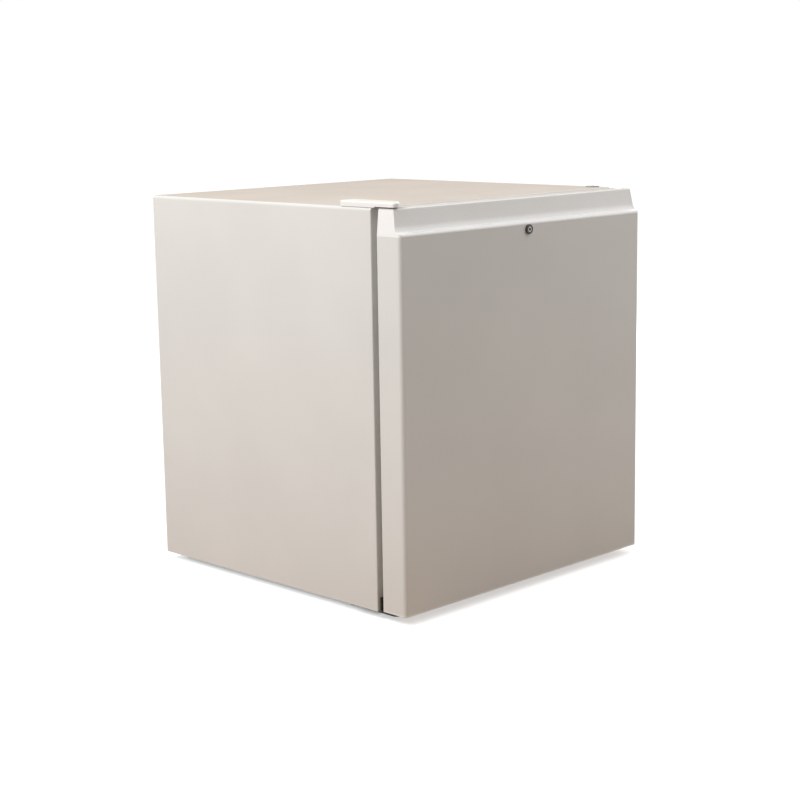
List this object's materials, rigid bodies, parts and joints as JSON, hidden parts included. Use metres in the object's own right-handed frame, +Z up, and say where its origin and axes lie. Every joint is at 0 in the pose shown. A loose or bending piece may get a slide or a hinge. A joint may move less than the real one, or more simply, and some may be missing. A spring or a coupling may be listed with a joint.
{
  "type": "upright freezer",
  "caption": "Compact cube-like upright freezer with one left-hung door, a full-width scooped grip, a key lock, a wire shelf and a rear wire condenser.",
  "frame": {"origin": "On the floor, under the middle of the freezer's overall box.", "axes": "X to the right of a person facing the door, Y from the door to the back, Z up."},
  "size_m": [0.45, 0.473, 0.505],
  "materials": {
    "white_painted_steel": "satin",
    "white_moulded_plastic": "semi-gloss",
    "galvanised_sheet": "spangled matte",
    "zinc_plated_steel": "bright zinc",
    "black_painted_steel": "satin",
    "drawn_copper": "dull",
    "rolled_aluminium": "matte",
    "black_moulded_plastic": "fine texture",
    "grey_acetal": "smooth",
    "grey_gasket_vinyl": "matte",
    "black_rubber": "matte",
    "rigid_foam": "cellular",
    "white_coated_wire": "smooth coating",
    "nickel_plated_brass": "polished"
  },
  "bodies": {
    "cabinet": {"cabinet_shell": "white_painted_steel", "hinge_cover": "white_moulded_plastic", "freezer_liner": "white_moulded_plastic", "back_panel": "galvanised_sheet", "base_pan": "galvanised_sheet", "machine_compartment_plate": "galvanised_sheet", "compressor_tray": "galvanised_sheet", "hinge_anchor_plates": "galvanised_sheet", "thermostat_bracket": "galvanised_sheet", "compressor_foot_plate": "galvanised_sheet", "back_panel_screws": "zinc_plated_steel", "top_hinge_plate": "zinc_plated_steel", "top_hinge_pin": "zinc_plated_steel", "top_hinge_screws": "zinc_plated_steel", "bottom_hinge_pin": "zinc_plated_steel", "bottom_hinge_screws": "zinc_plated_steel", "lock_keeper": "zinc_plated_steel", "lock_keeper_screws": "zinc_plated_steel", "condenser_screws": "zinc_plated_steel", "compressor_bolts": "zinc_plated_steel", "foot_nuts": "zinc_plated_steel", "compressor_shell": "black_painted_steel", "condenser_tube": "black_painted_steel", "condenser_wires": "black_painted_steel", "bottom_hinge_plate": "black_painted_steel", "suction_line": "drawn_copper", "capillary_tube": "drawn_copper", "discharge_line": "drawn_copper", "process_tube": "drawn_copper", "filter_drier": "drawn_copper", "thermostat_probe": "drawn_copper", "evaporator_plate": "rolled_aluminium", "evaporator_tube": "rolled_aluminium", "hinge_hole_plug": "black_moulded_plastic", "condenser_brackets": "black_moulded_plastic", "compressor_terminal_cover": "black_moulded_plastic", "thermostat_body": "black_moulded_plastic", "cord_gland": "black_moulded_plastic", "rear_feet": "black_moulded_plastic", "compressor_grommets": "black_rubber", "cabinet_foam": "rigid_foam"},
    "door": {"door_panel": "white_painted_steel", "door_top_cap": "white_moulded_plastic", "door_bottom_cap": "white_moulded_plastic", "door_foam": "rigid_foam", "door_liner": "white_moulded_plastic", "door_gasket": "grey_gasket_vinyl", "gasket_magnets": "black_rubber", "door_hinge_bushes": "grey_acetal", "door_bush_plugs": "white_moulded_plastic", "lock_housing": "black_moulded_plastic", "lock_nut": "zinc_plated_steel"},
    "lock": {"lock_barrel": "nickel_plated_brass", "lock_cam": "zinc_plated_steel", "lock_cam_screw": "zinc_plated_steel"},
    "shelf": {"wire_shelf": "white_coated_wire"},
    "dial": {"thermostat_knob": "black_moulded_plastic"},
    "foot_left": {"front_foot_left": "black_moulded_plastic"},
    "foot_right": {"front_foot_right": "black_moulded_plastic"}
  },
  "joints": [
    {"name": "door_hinge", "type": "hinge", "parent": "cabinet", "child": "door", "pos_m": [-0.2135, -0.2062, 0.25], "axis": [0, 0, -1], "range_deg": [0, 120]},
    {"name": "lock_turn", "type": "hinge", "parent": "door", "child": "lock", "pos_m": [0, -0.2145, 0.4595], "axis": [0, 1, 0], "range_deg": [0, 90]},
    {"name": "thermostat_turn", "type": "hinge", "parent": "cabinet", "child": "dial", "pos_m": [0.1842, 0.2045, 0.1195], "axis": [0, 1, 0], "range_deg": [-135, 135]},
    {"name": "shelf_slide", "type": "slide", "parent": "cabinet", "child": "shelf", "axis": [0, -1, 0], "range_m": [0, 0.025]},
    {"name": "foot_left_travel", "type": "slide", "parent": "cabinet", "child": "foot_left", "axis": [0, 0, -1], "range_m": [0, 0.008]},
    {"name": "foot_right_travel", "type": "slide", "parent": "cabinet", "child": "foot_right", "axis": [0, 0, -1], "range_m": [0, 0.008]}
  ]
}
